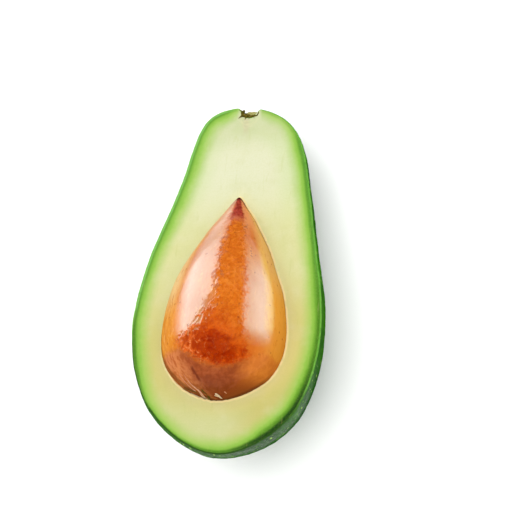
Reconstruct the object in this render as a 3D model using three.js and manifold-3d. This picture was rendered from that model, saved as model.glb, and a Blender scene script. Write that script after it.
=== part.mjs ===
// Half of a ripe green avocado, cut lengthwise through the stalk end, with its
// seed still in place. Millimetres, +Z up, +Y towards the stalk end.
// The half lies on its rounded back with the cut face up. The origin is the
// centre of the small flat spot that it rests on.

import * as THREE from 'three';
import { mergeVertices } from 'three/addons/utils/BufferGeometryUtils.js';
import Module from 'manifold-3d';

// ---------------------------------------------------------------- dimensions

// Fruit. Its outline on the cut face is a radius and a small sideways drift,
// both given along the length from the blossom end (0) to the stalk end.
const FRUIT_LENGTH = 115;
// radius = sum of RADIUS_TERMS[k] * sin((k + 1) s), where the place along the
// length is FRUIT_LENGTH * (1 - cos s) / 2
const RADIUS_TERMS = [29.357, 2.720, 1.539, -1.585, 0.368, -0.302, -0.045, -0.104];
// drift of the centre line, a polynomial in the share t of the length
const DRIFT_TERMS = [0.638, 9.299, -84.073, 159.381, -86.345];
const BACK_DEPTH_SHARE = 0.98;   // depth behind the cut face, as a share of the radius
const STALK_END_LEAN = 0.072;    // slope of the stalk end: its left shoulder stands higher
const BLOSSOM_END_LEAN = 0.045;  // slope of the blossom end: its right side reaches further

// Seed, whole, with its axis along the fruit's
const SEED_START = 16.5;         // from the blossom end to the seed's blunt end
const SEED_LENGTH = 66.5;
const SEED_TERMS = [16.690, 5.015, -0.633, 0.188, -0.205, -0.274, -0.154];
const SEED_RAISE = 1.0;          // its axis above the cut face
const SEED_GAP = 0.3;            // between the seed and its hollow

// Stalk scar: a shallow dimple in the stalk end, with the dry stub of the stalk in it
const DIMPLE_RADIUS = 3.6;
const DIMPLE_DEPTH = 2.6;
const STUB_RADIUS = 2.6;
const STUB_LENGTH = 2.0;
const STUB_GAP = 0.3;
const STALK_OFFSET = 1.4;        // of the scar, sideways from the end of the centre line

// Resting place
const REST_PITCH_DEG = 8.7;      // the stalk end lies lower than the blossom end
const FLAT_PLACE = 55.1;         // of the flat spot, from the blossom end
const FLAT_DEPTH = 0.7;          // how far the back is flattened

// Facets
const FRUIT_RINGS = 34, FRUIT_SIDES = 56;
const SEED_RINGS = 24, SEED_SIDES = 40;

// ------------------------------------------------------------------- outlines

const sineSum = (terms, s) => terms.reduce((sum, a, k) => sum + a * Math.sin((k + 1) * s), 0);
const drift = (t) => DRIFT_TERMS.reduce((sum, c, k) => sum + c * t ** k, 0);
const ease = (a, b, x) => THREE.MathUtils.smoothstep(x, Math.min(a, b), Math.max(a, b));
// how far a point at (x, y) slides along the length because the ends lean
const lean = (x, y) => {
  const side = x - drift(y / FRUIT_LENGTH);
  return -STALK_END_LEAN * side * ease(90, FRUIT_LENGTH, y)
    - BLOSSOM_END_LEAN * side * (1 - ease(0, 25, y));
};

// Profile of a round body for turning: points (radius, place along the length),
// from the axis to the axis. grow pushes the profile outwards.
function profile(terms, length, rings, grow = 0) {
  const points = [];
  for (let i = 0; i <= rings; i++) {
    const s = Math.PI * i / rings;
    points.push(new THREE.Vector2(Math.max(0, sineSum(terms, s)), length * (1 - Math.cos(s)) / 2));
  }
  points[0].x = 0;
  points[rings].x = 0;
  if (grow > 0) {
    const grown = points.map((p, i) => {
      const a = points[Math.max(0, i - 1)], b = points[Math.min(rings, i + 1)];
      const along = new THREE.Vector2().subVectors(b, a).normalize();
      const out = i === 0 ? new THREE.Vector2(0, -1) : i === rings ? new THREE.Vector2(0, 1)
        : new THREE.Vector2(along.y, -along.x);
      return p.clone().addScaledVector(out, grow);
    });
    grown[0].x = 0;
    grown[rings].x = 0;
    return grown;
  }
  return points;
}

// A turned body whose axis is Y
const turned = (points, sides) => new THREE.LatheGeometry(points, sides);

// The seed is not quite turned: its right and its left edge stand off the profile
// by this much, at the place y along the fruit
const swell = (y, middle, width) => Math.exp(-(((y - middle) / width) ** 2));
const seedTrim = (y, side) => (side > 0
  ? 0.52 * swell(y, 21.5, 3.6) - 0.38 * swell(y, 44.5, 6.0) - 1.12 * swell(y, 56.0, 7.5) + 0.32 * swell(y, 75.0, 4.0)
  : -0.22 * swell(y, 48.0, 9.0) - 0.78 * swell(y, 62.5, 7.0) - 0.30 * swell(y, 75.0, 4.5));

// The seed in its place, or its hollow when it is grown by the gap
function seedShape(grow) {
  const g = turned(profile(SEED_TERMS, SEED_LENGTH, SEED_RINGS, grow), SEED_SIDES);
  const p = g.getAttribute('position');
  for (let i = 0; i < p.count; i++) {
    const x = p.getX(i), z = p.getZ(i), r = Math.hypot(x, z);
    if (r < 1e-6) continue;
    const c = x / r;
    const off = seedTrim(p.getY(i) + SEED_START, c) * ease(0.45, 0.95, Math.abs(c)) * Math.min(1, r / 5);
    p.setX(i, x + off * c);
    p.setZ(i, z + off * z / r);
  }
  return g.translate(0, SEED_START, SEED_RAISE);
}

// -------------------------------------------------------------------- solids

const wasm = await Module();
wasm.setup();

function toSolid(geometry) {
  const g = geometry.clone();
  g.deleteAttribute('normal');
  g.deleteAttribute('uv');
  const merged = mergeVertices(g, 1e-4);
  const index = merged.getIndex().array;
  const tris = [];
  for (let i = 0; i < index.length; i += 3) {
    const [a, b, c] = [index[i], index[i + 1], index[i + 2]];
    if (a !== b && b !== c && c !== a) tris.push(a, b, c);
  }
  const mesh = new wasm.Mesh({
    numProp: 3,
    vertProperties: new Float32Array(merged.getAttribute('position').array),
    triVerts: new Uint32Array(tris),
  });
  const solid = new wasm.Manifold(mesh);
  if (solid.volume() > 0) return solid;
  for (let i = 0; i < tris.length; i += 3) [tris[i + 1], tris[i + 2]] = [tris[i + 2], tris[i + 1]];
  return new wasm.Manifold(new wasm.Mesh({
    numProp: 3,
    vertProperties: new Float32Array(merged.getAttribute('position').array),
    triVerts: new Uint32Array(tris),
  }));
}

function toGeometry(solid) {
  const mesh = solid.getMesh();
  const g = new THREE.BufferGeometry();
  const positions = new Float32Array(mesh.numVert * 3);
  for (let i = 0; i < mesh.numVert; i++)
    for (let k = 0; k < 3; k++) positions[3 * i + k] = mesh.vertProperties[mesh.numProp * i + k];
  g.setAttribute('position', new THREE.BufferAttribute(positions, 3));
  g.setIndex(new THREE.BufferAttribute(new Uint32Array(mesh.triVerts), 1));
  g.computeVertexNormals();
  return g;
}

// ------------------------------------------------- the fruit, in the cut frame
// Here the cut face is the plane z = 0 and the blossom end is at y = 0.

const whole = turned(profile(RADIUS_TERMS, FRUIT_LENGTH, FRUIT_RINGS), FRUIT_SIDES);
{
  const p = whole.getAttribute('position');
  for (let i = 0; i < p.count; i++) {
    const x = p.getX(i) + drift(p.getY(i) / FRUIT_LENGTH), y = p.getY(i);
    p.setXYZ(i, x, y + lean(x, y), p.getZ(i) * BACK_DEPTH_SHARE);
  }
}
const below = new THREE.BoxGeometry(200, 300, 100).translate(0, FRUIT_LENGTH / 2, -50);

const hollow = seedShape(SEED_GAP);
const seedBody = seedShape(0);

// The dimple is a shallow bowl around the fruit's axis, open at the stalk end
const stalkX = drift(1) + STALK_OFFSET;
const bowl = [new THREE.Vector2(0, 0)];
for (let i = 1; i <= 6; i++) {
  const a = (Math.PI / 2) * (i / 6);
  bowl.push(new THREE.Vector2(DIMPLE_RADIUS * Math.sin(a), DIMPLE_DEPTH * (1 - Math.cos(a))));
}
bowl.push(new THREE.Vector2(DIMPLE_RADIUS + 0.8, DIMPLE_DEPTH + 3), new THREE.Vector2(0, DIMPLE_DEPTH + 3));
const dimple = turned(bowl, 24).translate(stalkX, FRUIT_LENGTH - DIMPLE_DEPTH, 0);

// The stub: a short waisted plug, rounded to the dimple's floor, cut with the fruit
const stub = turned([
  new THREE.Vector2(0, 0),
  new THREE.Vector2(STUB_RADIUS * 0.55, 0.3),
  new THREE.Vector2(STUB_RADIUS * 0.86, 0.8),
  new THREE.Vector2(STUB_RADIUS * 0.96, 1.2),
  new THREE.Vector2(STUB_RADIUS, STUB_LENGTH * 0.8),
  new THREE.Vector2(STUB_RADIUS * 0.9, STUB_LENGTH),
  new THREE.Vector2(0, STUB_LENGTH * 0.92),
], 20).translate(stalkX, FRUIT_LENGTH - DIMPLE_DEPTH + STUB_GAP, 0);

// The rest frame: the cut frame pitched about X, with the flat spot at z = 0
const pitch = THREE.MathUtils.degToRad(-REST_PITCH_DEG);
const turn = new THREE.Matrix4().makeRotationX(pitch);
let lowest = Infinity;
{
  const p = whole.getAttribute('position'), q = new THREE.Vector3();
  for (let i = 0; i < p.count; i++) {
    q.fromBufferAttribute(p, i).applyMatrix4(turn);
    lowest = Math.min(lowest, q.z);
  }
}
const flatCentre = new THREE.Vector3(drift(FLAT_PLACE / FRUIT_LENGTH), FLAT_PLACE, 0);
{
  // straight down from the cut frame's back at that place
  const s = Math.acos(1 - 2 * FLAT_PLACE / FRUIT_LENGTH);
  flatCentre.z = -BACK_DEPTH_SHARE * sineSum(RADIUS_TERMS, s);
}
const flat = flatCentre.clone().applyMatrix4(turn);
const rest = new THREE.Matrix4().makeTranslation(-flat.x, -flat.y, -(lowest + FLAT_DEPTH)).multiply(turn);
const under = new THREE.BoxGeometry(200, 300, 60).translate(0, 0, -30);

const place = (geometry) => toSolid(geometry.clone().applyMatrix4(rest));
const halfSpace = place(below);

const fruitSolid = place(whole)
  .intersect(halfSpace)
  .subtract(place(hollow))
  .subtract(place(dimple))
  .subtract(toSolid(under));
const seedSolid = place(seedBody);
const stubSolid = place(stub).intersect(halfSpace);

// ------------------------------------------------------------------ the model

const fruitMaterial = new THREE.MeshStandardMaterial({ color: 0xdcdc98, roughness: 0.5, metalness: 0 });
const seedMaterial = new THREE.MeshStandardMaterial({ color: 0xc8641e, roughness: 0.25, metalness: 0 });
const stubMaterial = new THREE.MeshStandardMaterial({ color: 0x5a4630, roughness: 0.9, metalness: 0 });

const avocadoHalf = new THREE.Group();
avocadoHalf.name = 'avocado_half';

function piece(name, solid, material) {
  const mesh = new THREE.Mesh(toGeometry(solid), material);
  mesh.name = name;
  avocadoHalf.add(mesh);
}

piece('fruit_half', fruitSolid, fruitMaterial);
piece('seed', seedSolid, seedMaterial);
piece('stalk_stub', stubSolid, stubMaterial);

export default avocadoHalf;
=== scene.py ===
import math

import bpy
import numpy as np
from mathutils import Matrix, Vector


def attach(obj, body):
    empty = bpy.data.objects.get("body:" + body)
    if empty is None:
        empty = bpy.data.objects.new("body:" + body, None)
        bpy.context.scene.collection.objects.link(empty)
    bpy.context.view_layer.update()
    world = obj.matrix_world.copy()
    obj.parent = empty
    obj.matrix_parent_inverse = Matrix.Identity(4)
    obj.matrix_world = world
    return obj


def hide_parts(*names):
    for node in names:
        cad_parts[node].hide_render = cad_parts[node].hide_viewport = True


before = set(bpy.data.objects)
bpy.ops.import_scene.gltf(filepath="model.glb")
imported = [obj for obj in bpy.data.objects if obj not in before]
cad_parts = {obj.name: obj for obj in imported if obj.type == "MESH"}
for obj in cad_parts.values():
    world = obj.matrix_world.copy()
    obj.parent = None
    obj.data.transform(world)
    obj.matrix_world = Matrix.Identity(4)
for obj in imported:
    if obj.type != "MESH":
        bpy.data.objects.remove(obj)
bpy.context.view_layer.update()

# --------------------------------------------------------------------------
# Dimensions, in millimetres, in the cut frame: the cut face is the plane
# z = 0, the blossom end is at y = 0 and the stalk end is at y = FRUIT_LENGTH.
# --------------------------------------------------------------------------
MM = 0.001
FRUIT_LENGTH = 115.0
RADIUS_TERMS = [29.357, 2.720, 1.539, -1.585, 0.368, -0.302, -0.045, -0.104]
DRIFT_TERMS = [0.638, 9.299, -84.073, 159.381, -86.345]
BACK_DEPTH_SHARE = 0.98
STALK_END_LEAN = 0.072
BLOSSOM_END_LEAN = 0.045
SEED_START = 16.5
SEED_LENGTH = 66.5
SEED_TERMS = [16.690, 5.015, -0.633, 0.188, -0.205, -0.274, -0.154]
SEED_RAISE = 1.0
SEED_GAP = 0.03
STALK_OFFSET = 1.4
DIMPLE_RADIUS = 3.9
DIMPLE_DEPTH = 3.3
EDGE_ROUND = 0.42

# The cut frame in the part's frame: pitched about X, flat spot at the origin
REST_PITCH = math.radians(-8.7)
REST_SHIFT = np.array([1.22665, -50.21800, 35.38515])
REST_TURN = np.array([
    [1, 0, 0],
    [0, math.cos(REST_PITCH), -math.sin(REST_PITCH)],
    [0, math.sin(REST_PITCH), math.cos(REST_PITCH)],
])


def to_rest(p):
    return (np.asarray(p, float) @ REST_TURN.T + REST_SHIFT) * MM


def series(terms, s):
    return sum(a * np.sin((k + 1) * s) for k, a in enumerate(terms))


def drift(y):
    t = np.clip(np.asarray(y, float) / FRUIT_LENGTH, 0, 1)
    return sum(c * t**k for k, c in enumerate(DRIFT_TERMS))


def fruit_radius(y):
    t = np.clip(np.asarray(y, float) / FRUIT_LENGTH, 0, 1)
    return np.maximum(series(RADIUS_TERMS, np.arccos(1 - 2 * t)), 0)


def seed_radius(y):
    t = np.clip((np.asarray(y, float) - SEED_START) / SEED_LENGTH, 0, 1)
    return np.maximum(series(SEED_TERMS, np.arccos(1 - 2 * t)), 0)


def seed_trim(y, side):
    """How far the seed's right (side > 0) or left edge stands off the turned profile."""
    def swell(middle, width):
        return np.exp(-(((y - middle) / width) ** 2))
    right = 0.52 * swell(21.5, 3.6) - 0.38 * swell(44.5, 6.0) - 1.12 * swell(56.0, 7.5) + 0.32 * swell(75.0, 4.0)
    left = -0.22 * swell(48.0, 9.0) - 0.78 * swell(62.5, 7.0) - 0.30 * swell(75.0, 4.5)
    return np.where(side > 0, right, left) * np.minimum(1.0, seed_radius(y) / 5.0)


def smooth(a, b, x):
    t = np.clip((np.asarray(x, float) - a) / (b - a), 0, 1)
    return t * t * (3 - 2 * t)


def lean(p):
    """The two ends lean: points slide along the length, more with their distance from the centre line."""
    p = np.array(p, float)
    y = p[:, 1].copy()
    side = p[:, 0] - drift(y)
    slope = STALK_END_LEAN * smooth(90.0, FRUIT_LENGTH, y) + BLOSSOM_END_LEAN * (1 - smooth(0.0, 25.0, y))
    p[:, 1] = y - side * slope
    return p


STALK_X = float(drift(FRUIT_LENGTH)) + STALK_OFFSET


# --------------------------------------------------------------------------
# Noise with fixed seeds, so that each run gives the same surface
# --------------------------------------------------------------------------
def _hash(i, j, k, seed):
    h = (i * 374761393 + j * 668265263 + k * 1440662683 + seed * 1274126177) & 0xFFFFFFFF
    h = ((h ^ (h >> 13)) * 1274126177) & 0xFFFFFFFF
    h = h ^ (h >> 16)
    h = (h * 2246822519) & 0xFFFFFFFF
    return (h ^ (h >> 15)) & 0xFFFFFFFF


_GRAD = np.array([
    (1, 1, 0), (-1, 1, 0), (1, -1, 0), (-1, -1, 0), (1, 0, 1), (-1, 0, 1),
    (1, 0, -1), (-1, 0, -1), (0, 1, 1), (0, -1, 1), (0, 1, -1), (0, -1, -1),
], float)


def gnoise(p, seed=0):
    p = np.asarray(p, float)
    b = np.floor(p).astype(np.int64)
    f = p - b
    u = f * f * f * (f * (f * 6 - 15) + 10)
    out = np.zeros(len(p))
    for dx in (0, 1):
        for dy in (0, 1):
            for dz in (0, 1):
                g = _GRAD[_hash(b[:, 0] + dx, b[:, 1] + dy, b[:, 2] + dz, seed) % 12]
                d = (g * (f - np.array([dx, dy, dz]))).sum(1)
                w = (np.where(dx, u[:, 0], 1 - u[:, 0]) * np.where(dy, u[:, 1], 1 - u[:, 1])
                     * np.where(dz, u[:, 2], 1 - u[:, 2]))
                out += w * d
    return out


def fbm(p, octaves=3, seed=0, gain=0.5):
    out, amp, q = 0.0, 1.0, np.asarray(p, float)
    for o in range(octaves):
        out = out + amp * gnoise(q, seed + 17 * o)
        q = q * 2.03 + 11.3
        amp *= gain
    return out


def cells(p, seed=0, jitter=0.9):
    """Distance to the nearest and second nearest cell point, and the nearest cell's own number 0..1."""
    p = np.asarray(p, float)
    b = np.floor(p).astype(np.int64)
    f1 = np.full(len(p), 9.0)
    f2 = np.full(len(p), 9.0)
    own = np.zeros(len(p))
    for dx in (-1, 0, 1):
        for dy in (-1, 0, 1):
            for dz in (-1, 0, 1):
                i, j, k = b[:, 0] + dx, b[:, 1] + dy, b[:, 2] + dz
                c = np.stack([
                    i + 0.5 + jitter * (_hash(i, j, k, seed) / 4294967295.0 - 0.5),
                    j + 0.5 + jitter * (_hash(i, j, k, seed + 1) / 4294967295.0 - 0.5),
                    k + 0.5 + jitter * (_hash(i, j, k, seed + 2) / 4294967295.0 - 0.5),
                ], 1)
                d = np.sqrt(((p - c) ** 2).sum(1))
                near = d < f1
                f2 = np.where(near, f1, np.minimum(f2, d))
                own = np.where(near, _hash(i, j, k, seed + 3) / 4294967295.0, own)
                f1 = np.where(near, d, f1)
    return f1, f2, own


# --------------------------------------------------------------------------
# Mesh helpers
# --------------------------------------------------------------------------
def make_mesh(name, verts_cut, quads, tris, face_mats, materials, attributes):
    """A smooth mesh from points in the cut frame, with point attributes for its materials."""
    verts = to_rest(verts_cut)
    verts[:, 2] = np.maximum(verts[:, 2], 0.0)
    mesh = bpy.data.meshes.new(name)
    faces = [tuple(int(i) for i in f) for f in quads] + [tuple(int(i) for i in f) for f in tris]
    mesh.from_pydata([tuple(v) for v in verts], [], faces)
    mesh.update()
    for m in materials:
        mesh.materials.append(m)
    mesh.polygons.foreach_set("material_index", np.asarray(face_mats, np.int32))
    mesh.polygons.foreach_set("use_smooth", np.ones(len(mesh.polygons), bool))
    for key, values in attributes.items():
        values = np.asarray(values, np.float32)
        if values.ndim == 2:
            a = mesh.attributes.new(key, "FLOAT_VECTOR", "POINT")
            a.data.foreach_set("vector", values.ravel())
        else:
            a = mesh.attributes.new(key, "FLOAT", "POINT")
            a.data.foreach_set("value", values)
    mesh.validate()
    obj = bpy.data.objects.new(name, mesh)
    bpy.context.scene.collection.objects.link(obj)
    return obj


def segment_distance(points, loop):
    """Distance in the plane from each point to a closed polyline."""
    best = np.full(len(points), 1e9)
    a = loop
    b = np.roll(loop, -1, 0)
    ab = b - a
    den = np.maximum((ab**2).sum(1), 1e-12)
    step = 4000
    for i in range(0, len(points), step):
        p = points[i:i + step]
        t = np.clip((((p[:, None] - a[None]) * ab[None]).sum(2)) / den[None], 0, 1)
        d = p[:, None] - (a[None] + ab[None] * t[..., None])
        best[i:i + step] = np.sqrt((d**2).sum(2).min(1))
    return best


# --------------------------------------------------------------------------
# Node helpers
# --------------------------------------------------------------------------
def tone(r, g, b, gain=1.0):
    def lin(c):
        c /= 255.0
        return c / 12.92 if c <= 0.04045 else ((c + 0.055) / 1.055) ** 2.4
    return (lin(r) * gain, lin(g) * gain, lin(b) * gain, 1.0)


class Nodes:
    def __init__(self, name):
        self.mat = bpy.data.materials.new(name)
        self.mat.use_nodes = True
        self.t = self.mat.node_tree
        self.t.nodes.clear()
        self.out = self.t.nodes.new("ShaderNodeOutputMaterial")
        self.bsdf = self.t.nodes.new("ShaderNodeBsdfPrincipled")
        self.link(self.bsdf.outputs[0], self.out.inputs[0])

    def link(self, a, b):
        self.t.links.new(a, b)

    def put(self, socket, value):
        if hasattr(value, "is_linked"):
            self.link(value, socket)
        else:
            socket.default_value = value

    def attr(self, name, vector=False):
        n = self.t.nodes.new("ShaderNodeAttribute")
        n.attribute_name = name
        return n.outputs["Vector"] if vector else n.outputs["Fac"]

    def math(self, op, a, b=None, c=None, clamp=False):
        n = self.t.nodes.new("ShaderNodeMath")
        n.operation = op
        n.use_clamp = clamp
        for s, v in zip(n.inputs, (a, b, c)):
            if v is not None:
                self.put(s, v)
        return n.outputs[0]

    def add(self, *values):
        out = values[0]
        for v in values[1:]:
            out = self.math("ADD", out, v)
        return out

    def mul(self, *values):
        out = values[0]
        for v in values[1:]:
            out = self.math("MULTIPLY", out, v)
        return out

    def fma(self, x, scale, offset):
        return self.math("MULTIPLY_ADD", x, scale, offset)

    def ramp(self, x, a, b, lo=0.0, hi=1.0, soft=True):
        n = self.t.nodes.new("ShaderNodeMapRange")
        n.interpolation_type = "SMOOTHSTEP" if soft else "LINEAR"
        n.clamp = True
        self.put(n.inputs["Value"], x)
        n.inputs["From Min"].default_value = a
        n.inputs["From Max"].default_value = b
        n.inputs["To Min"].default_value = lo
        n.inputs["To Max"].default_value = hi
        return n.outputs["Result"]

    def colors(self, x, stops, mode="LINEAR"):
        n = self.t.nodes.new("ShaderNodeValToRGB")
        r = n.color_ramp
        r.interpolation = mode
        while len(r.elements) > 1:
            r.elements.remove(r.elements[-1])
        r.elements[0].position = stops[0][0]
        r.elements[0].color = stops[0][1]
        for pos, col in stops[1:]:
            e = r.elements.new(pos)
            e.color = col
        self.put(n.inputs[0], x)
        return n.outputs[0]

    def mix(self, f, a, b, blend="MIX"):
        n = self.t.nodes.new("ShaderNodeMix")
        n.data_type = "RGBA"
        n.blend_type = blend
        self.put(n.inputs[0], f)
        self.put(n.inputs[6], a)
        self.put(n.inputs[7], b)
        return n.outputs[2]

    def noise(self, vec, wavelength, detail=3.0, rough=0.5, distortion=0.0):
        n = self.t.nodes.new("ShaderNodeTexNoise")
        self.put(n.inputs["Vector"], vec)
        n.inputs["Scale"].default_value = 1.0 / wavelength
        n.inputs["Detail"].default_value = detail
        n.inputs["Roughness"].default_value = rough
        n.inputs["Distortion"].default_value = distortion
        return n.outputs["Fac"]

    def voronoi(self, vec, size, feature="F1", randomness=1.0):
        n = self.t.nodes.new("ShaderNodeTexVoronoi")
        n.feature = feature
        self.put(n.inputs["Vector"], vec)
        n.inputs["Scale"].default_value = 1.0 / size
        n.inputs["Randomness"].default_value = randomness
        return n

    def place(self, vec, scale=(1, 1, 1), turn=(0, 0, 0), shift=(0, 0, 0)):
        n = self.t.nodes.new("ShaderNodeMapping")
        self.put(n.inputs["Vector"], vec)
        n.inputs["Location"].default_value = shift
        n.inputs["Rotation"].default_value = turn
        n.inputs["Scale"].default_value = scale
        return n.outputs[0]

    def warp(self, vec, wavelength, amount, detail=2.0):
        n = self.t.nodes.new("ShaderNodeTexNoise")
        self.put(n.inputs["Vector"], vec)
        n.inputs["Scale"].default_value = 1.0 / wavelength
        n.inputs["Detail"].default_value = detail
        sub = self.t.nodes.new("ShaderNodeVectorMath")
        sub.operation = "SUBTRACT"
        self.link(n.outputs["Color"], sub.inputs[0])
        sub.inputs[1].default_value = (0.5, 0.5, 0.5)
        sc = self.t.nodes.new("ShaderNodeVectorMath")
        sc.operation = "SCALE"
        self.link(sub.outputs[0], sc.inputs[0])
        sc.inputs["Scale"].default_value = amount
        add = self.t.nodes.new("ShaderNodeVectorMath")
        add.operation = "ADD"
        self.put(add.inputs[0], vec)
        self.link(sc.outputs[0], add.inputs[1])
        return add.outputs[0]

    def axes(self, vec):
        n = self.t.nodes.new("ShaderNodeSeparateXYZ")
        self.put(n.inputs[0], vec)
        return n.outputs[0], n.outputs[1], n.outputs[2]

    def bump(self, height, distance, strength=1.0, normal=None):
        n = self.t.nodes.new("ShaderNodeBump")
        n.inputs["Strength"].default_value = strength
        n.inputs["Distance"].default_value = distance
        self.put(n.inputs["Height"], height)
        if normal is not None:
            self.link(normal, n.inputs["Normal"])
        return n.outputs[0]

    def away(self, near, far):
        """1 where the surface faces the viewer, falling to 0 where it turns away."""
        n = self.t.nodes.new("ShaderNodeLayerWeight")
        n.inputs["Blend"].default_value = 0.5
        return self.ramp(n.outputs["Facing"], far, near)

    def ridge(self, x, sharp):
        """1 on the middle level of a noise, falling to 0 a little away from it: thin winding lines."""
        off = self.math("ABSOLUTE", self.math("SUBTRACT", x, 0.5))
        return self.ramp(off, sharp, 0.0)

    def set(self, **values):
        for key, value in values.items():
            self.put(self.bsdf.inputs[key.replace("_", " ")], value)


# --------------------------------------------------------------------------
# Materials
# --------------------------------------------------------------------------
FLESH_GAIN = 0.58
SEED_GAIN = 0.65
SKIN_GAIN = 0.76


def flesh_material():
    n = Nodes("flesh")
    cut = n.attr("cut", True)
    rim = n.attr("rim")
    pit = n.attr("pit")
    x, y, z = n.axes(cut)

    def c(r, g, b):
        return tone(r, g, b, FLESH_GAIN)

    # distance in from the skin, a little uneven
    wob = n.fma(n.noise(cut, 9.0, 2.0), 1.3, -0.65)
    fine = n.fma(n.noise(cut, 1.3, 3.0, 0.6), 1.0, -0.50)
    d = n.add(rim, n.mul(n.ramp(rim, 0.9, 3.4), n.add(wob, fine)))
    # the green layer is thinner low on the left and at the right shoulder; low on the right, where the edge lies in
    # shade, the green reaches deeper in as painted shade
    low = n.ramp(y, 32.0, 12.0)
    shaded_low_right = n.mul(low, n.ramp(x, 0.0, 14.0))
    d = n.add(d, n.mul(shaded_low_right, -0.75))
    low_left = n.mul(low, n.ramp(x, 0.0, -14.0))
    d = n.add(d, n.mul(low_left, n.ramp(rim, 0.35, 1.0, 0.3, 1.5)))
    end = n.mul(n.ramp(y, 12.0, 4.0), n.ramp(n.math("ABSOLUTE", x), 16.0, 7.0))
    d = n.add(d, n.mul(end, n.ramp(rim, 0.6, 1.4, 0.0, 0.75)))
    d = n.add(d, n.mul(n.ramp(y, 98.0, 110.0), n.ramp(x, 1.0, 11.0, 0.0, 2.1)))
    stalk_off = n.math("ABSOLUTE", n.math("SUBTRACT", x, STALK_X + 0.3))
    d = n.add(d, n.mul(n.ramp(y, 102.0, 110.0), n.ramp(stalk_off, 8.5, 2.5, 0.0, 2.4)))
    d = n.add(d, n.mul(n.ramp(y, 105.0, 110.0), n.ramp(stalk_off, 4.4, 2.8, 0.0, 3.0)))
    d = n.add(d, n.mul(n.ramp(y, 62.0, 88.0), n.ramp(x, -4.0, 6.0, -0.70, 0.10), n.ramp(rim, 1.5, 5.0)))
    d = n.add(d, n.mul(n.ramp(x, 4.0, 20.0), n.ramp(rim, 0.6, 2.0, 0.0, -0.26), n.ramp(rim, 4.5, 2.6), n.ramp(y, 64.0, 50.0)))
    d = n.add(d, n.mul(n.ramp(x, 2.0, 10.0), n.ramp(y, 50.0, 64.0), n.ramp(y, 106.0, 84.0, 0.5, 1.0), n.ramp(rim, 0.5, 1.5, 0.0, 0.32), n.ramp(rim, 5.0, 2.5)))
    d = n.add(d, n.mul(n.ramp(x, 4.0, 14.0), n.ramp(y, 40.0, 58.0), n.ramp(rim, 1.8, 4.0, 0.0, 0.45)))
    green = n.colors(n.math("DIVIDE", d, 4.0, clamp=True), [
        (0.08, c(88, 146, 34)), (0.25, c(92, 152, 30)), (0.36, c(112, 172, 44)), (0.52, c(144, 199, 70)),
        (0.82, c(170, 211, 92)),
    ])
    green = n.mix(n.mul(n.ramp(y, 45.0, 60.0), n.ramp(d, 1.7, 0.8), 0.5), green, c(106, 178, 58))
    # a painted highlight: a light line next to the skin, up the left side
    light = n.mul(n.ramp(n.math("ABSOLUTE", n.math("SUBTRACT", rim, 0.72)), 0.42, 0.14), n.ramp(x, -2.0, -8.0), n.ramp(y, 42.0, 52.0),
                  n.ramp(n.noise(cut, 1.6, 3.0, 0.6), 0.30, 0.55, 0.45, 0.85))
    # a darker line just inside the skin, strongest round the bulb and low on the right
    line = n.mul(n.ramp(n.math("ABSOLUTE", n.math("SUBTRACT", rim, 0.85)), 0.75, 0.05),
                 n.ramp(n.noise(cut, 1.6, 3.0, 0.6), 0.25, 0.55, 0.45, 1.0))
    line = n.mul(line, n.fma(n.math("MAXIMUM", low_left, n.mul(end, 0.6)), -0.85, 1.0))
    green = n.mix(n.mul(line, n.ramp(y, 62.0, 34.0, 0.18, 0.55)), green, c(58, 116, 8))
    # the painted highlight along the skin
    green = n.mix(light, green, c(138, 206, 100))
    # painted shade: the edge low on the right goes nearly black-green
    green = n.mix(n.mul(shaded_low_right, n.ramp(rim, 2.0, 1.0), 0.96), green, c(10, 62, 0))
    # inner colour: warm round the bulb, paler up the neck
    inner = n.mix(n.ramp(y, 34.0, 62.0), c(221, 214, 130), c(231, 231, 168))
    inner = n.mix(n.ramp(y, 66.0, 92.0), inner, n.mix(n.ramp(rim, 6.0, 12.0), c(228, 236, 186), c(239, 240, 203)))
    inner = n.mix(n.ramp(y, 26.0, 7.0), inner, c(220, 221, 156))
    # painted shade: the inner flesh low on the right is darker and tan
    inner = n.mix(n.mul(shaded_low_right, 0.75), inner, c(214, 203, 114))
    inner = n.mix(n.mul(n.ramp(y, 97.0, 109.0), 0.85), inner, c(214, 221, 170))
    col = n.mix(n.ramp(d, 2.3, 7.0), green, inner)
    # warmer next to the seed, most of all low on the right
    warm = n.mul(n.ramp(pit, 6.5, 0.8), n.ramp(y, 66.0, 26.0), n.ramp(x, -18.0, 16.0, 0.25, 1.0))
    col = n.mix(n.mul(warm, 0.65), col, c(240, 224, 138))
    # painted light: the flesh next to the seed is lightened against the shade the seed throws
    col = n.mix(n.ramp(pit, 4.5, 0.5, 0.0, 0.30), col, c(255, 243, 180))
    # soft cloudy patches
    cloud = n.noise(cut, 8.0, 3.0, 0.55)
    col = n.mix(n.mul(n.ramp(cloud, 0.45, 0.72), n.ramp(rim, 2.0, 6.0), 0.20), col, c(243, 240, 204))
    cloud2 = n.noise(n.place(cut, shift=(31.0, 7.0, 3.0)), 6.0, 3.0, 0.55)
    col = n.mix(n.mul(n.ramp(cloud2, 0.50, 0.75), n.ramp(rim, 2.0, 6.0), 0.16), col, c(204, 206, 124))
    # faint strands that run lengthwise, and the fine grain of the cut cells
    strand = n.noise(n.place(n.warp(cut, 9.0, 1.5), (1.0, 0.12, 1.0)), 1.1, 2.0, 0.6)
    col = n.mix(n.mul(n.ramp(strand, 0.58, 0.74), 0.16), col, c(196, 202, 112))
    grain = n.noise(cut, 0.55, 3.0, 0.65)
    col = n.mix(n.mul(n.ramp(grain, 0.40, 0.70), 0.10), col, c(190, 198, 106))
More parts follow.
